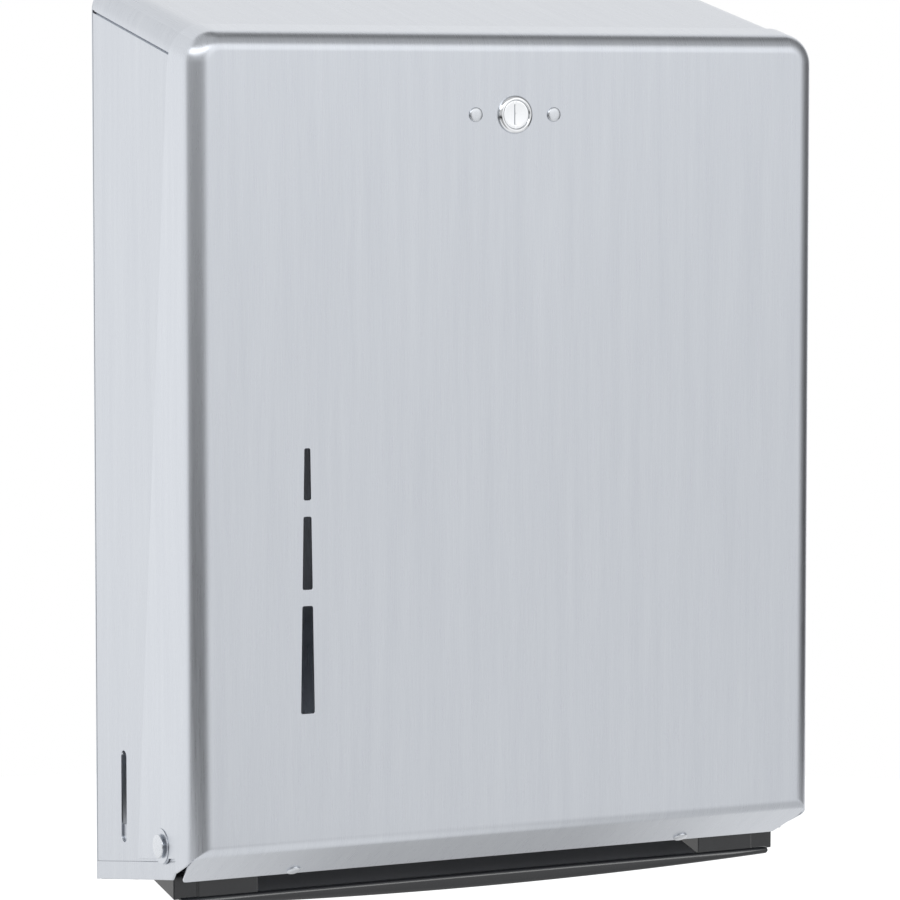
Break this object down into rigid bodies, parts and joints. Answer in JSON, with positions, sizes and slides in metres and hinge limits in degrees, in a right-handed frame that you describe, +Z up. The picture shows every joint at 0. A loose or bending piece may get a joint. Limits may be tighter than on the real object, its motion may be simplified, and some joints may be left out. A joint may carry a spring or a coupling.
{
  "type": "c-fold towel dispenser",
  "caption": "Wall-hung stainless towel cabinet with a drawn cover that swings down on pins at its foot, a cam lock, and a black towel guide under its lip.",
  "frame": {"origin": "middle of the four wall-screw holes, on the back panel's rear face", "axes": "+X to the right seen from the front, +Y into the wall, +Z up; the cover's front faces -Y"},
  "size_m": [0.294, 0.1038, 0.3764],
  "materials": {
    "stainless": "fine vertical brushing",
    "rivet": "plain, lightly polished heads",
    "chrome": "bright",
    "plated_steel": "zinc plated",
    "black_plastic": "moulded, low gloss"
  },
  "bodies": {
    "cabinet": {"back_panel": "stainless", "left_side_panel": "stainless", "right_side_panel": "stainless", "top_panel": "stainless", "latch_strike": "plated_steel", "strike_rivets": "rivet", "bottom_frame": "stainless", "hinge_pins": "rivet", "hinge_washers": "rivet", "hinge_burrs": "rivet"},
    "cover": {"front_cover": "stainless", "towel_guide": "black_plastic", "guide_rivets": "rivet", "guide_washers": "rivet", "lock_plate": "plated_steel", "lock_rivets": "rivet", "lock_barrel": "chrome", "lock_clip": "plated_steel"},
    "lock": {"lock_plug": "chrome", "lock_cam": "plated_steel", "cam_washer": "plated_steel", "cam_screw": "plated_steel"}
  },
  "joints": [
    {"name": "cover_swing", "type": "hinge", "parent": "cabinet", "child": "cover", "pos_m": [0, -0.07, -0.1626], "axis": [1, 0, 0], "range_deg": [0, 100]},
    {"name": "lock_turn", "type": "hinge", "parent": "cover", "child": "lock", "pos_m": [0, -0.102, 0.132], "axis": [0, -1, 0], "range_deg": [0, 90]}
  ]
}
